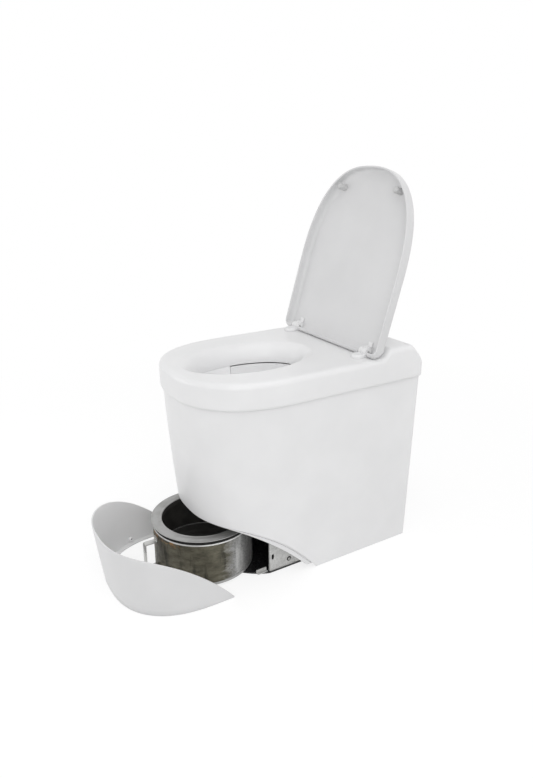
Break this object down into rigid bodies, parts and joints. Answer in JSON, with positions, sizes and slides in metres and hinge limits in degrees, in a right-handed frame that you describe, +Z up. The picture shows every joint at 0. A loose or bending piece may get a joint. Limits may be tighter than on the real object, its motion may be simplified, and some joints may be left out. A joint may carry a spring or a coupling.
{
  "type": "incinerating toilet",
  "caption": "Floor-standing dry toilet with a hinged lid, a two-part trap bowl, an electric burning chamber below it, a pull-out ash pan and a curved front panel that lifts off.",
  "frame": {"origin": "on the floor, under the middle of the casing's width and depth", "axes": "+X to the user's left as they sit, -Y to the front, +Z up"},
  "size_m": [0.39, 0.8263, 0.9472],
  "materials": {
    "white_gloss": "smooth glossy white moulding",
    "white_satin": "satin white shell",
    "white_painted": "white powder coat",
    "galvanised": "galvanised sheet",
    "black_plate": "glossy black enamel",
    "stained_steel": "heat-stained steel",
    "bright_steel": "bright steel",
    "zinc": "zinc-plated fixing",
    "dark_gasket": "black heatproof rope gasket",
    "clear_rubber": "soft pale bumper",
    "fibre": "pale fibre blanket",
    "heater": "oxidised heater sheath",
    "motor_case": "dark die-cast case",
    "black_plastic": "black moulding",
    "grey_plastic": "grey moulding",
    "ceramic_core": "honeycomb ceramic",
    "board_green": "coated circuit board",
    "lens": "clear lens",
    "button_metal": "satin metal"
  },
  "bodies": {
    "housing": {"base_plate": "black_plate", "chassis_side_right": "galvanised", "chassis_side_left": "galvanised", "chassis_top_plate": "galvanised", "chassis_screws": "zinc", "pan_runners": "galvanised", "pan_stop_clips": "galvanised", "frame_posts": "galvanised", "outer_casing": "white_satin", "casing_lip": "white_satin", "rear_panel": "white_painted", "rear_panel_screws": "zinc", "top_casing": "white_gloss", "hinge_feet": "white_gloss", "hinge_bolts": "zinc", "hinge_pins": "bright_steel", "bowl_bearings": "galvanised", "bowl_motors": "motor_case", "chamber_liner": "stained_steel", "chamber_insulation": "fibre", "chamber_jacket": "galvanised", "chamber_top_ring": "stained_steel", "chamber_seal": "dark_gasket", "heating_element": "heater", "temperature_probe": "zinc", "hatch_bearing": "galvanised", "hatch_motor": "motor_case", "exhaust_port": "bright_steel", "catalyst_housing": "bright_steel", "catalyst_core": "ceramic_core", "fan_housing": "bright_steel", "fan_motor": "motor_case", "exhaust_duct": "galvanised", "exhaust_spigot": "bright_steel", "air_inlet_spigot": "grey_plastic", "power_inlet": "black_plastic", "control_board": "board_green", "board_standoffs": "zinc", "button_housing": "black_plastic", "status_lenses": "lens"},
    "lid_leaf": {"lid": "white_gloss", "lid_hinge_arms": "white_gloss", "lid_bumpers": "clear_rubber"},
    "ash_pan": {"ash_pan_body": "stained_steel", "pan_ring": "stained_steel", "pan_gasket": "dark_gasket", "pan_handle": "bright_steel", "handle_bolts": "zinc"},
    "front_cover": {"front_panel": "white_satin", "panel_boss": "zinc"},
    "bowl_front": {"bowl_front_half": "white_satin", "bowl_front_arms": "bright_steel", "bowl_front_shaft": "bright_steel"},
    "bowl_rear": {"bowl_rear_half": "white_satin", "bowl_rear_arms": "bright_steel", "bowl_rear_shaft": "bright_steel"},
    "hatch": {"chamber_hatch": "bright_steel", "hatch_shaft": "bright_steel"},
    "fan_rotor": {"fan_impeller": "bright_steel"},
    "button": {"start_button": "button_metal"}
  },
  "joints": [
    {"name": "lid_hinge", "type": "hinge", "parent": "housing", "child": "lid_leaf", "pos_m": [0, 0.146, 0.53], "axis": [1, 0, 0], "range_deg": [0, 106.5]},
    {"name": "pan_slide", "type": "slide", "parent": "housing", "child": "ash_pan", "axis": [0, 1, 0], "range_m": [0, 0.162]},
    {"name": "cover_slide", "type": "slide", "parent": "housing", "child": "front_cover", "axis": [0, 1, 0], "range_m": [0, 0.2255]},
    {"name": "bowl_front_pivot", "type": "hinge", "parent": "housing", "child": "bowl_front", "pos_m": [0, -0.248, 0.462], "axis": [-1, 0, 0], "range_deg": [0, 47]},
    {"name": "bowl_rear_pivot", "type": "hinge", "parent": "housing", "child": "bowl_rear", "pos_m": [0, 0.058, 0.462], "axis": [1, 0, 0], "range_deg": [0, 47]},
    {"name": "hatch_swing", "type": "hinge", "parent": "housing", "child": "hatch", "pos_m": [0.116, 0.05, 0.23], "axis": [0, 0, -1], "range_deg": [0, 90]},
    {"name": "fan_spin", "type": "hinge", "parent": "housing", "child": "fan_rotor", "pos_m": [0, 0.18, 0.2032], "axis": [0, 1, 0], "continuous": true},
    {"name": "button_press", "type": "slide", "parent": "housing", "child": "button", "axis": [0, 0, -1], "range_m": [0, 0.0025], "stiffness_N_per_m": 400, "springref_m": -0.002}
  ],
  "couplings": [
    {"joint": "cover_slide", "follows": "pan_slide", "ratio": 1.3919},
    {"joint": "bowl_rear_pivot", "follows": "bowl_front_pivot", "ratio": 1}
  ]
}
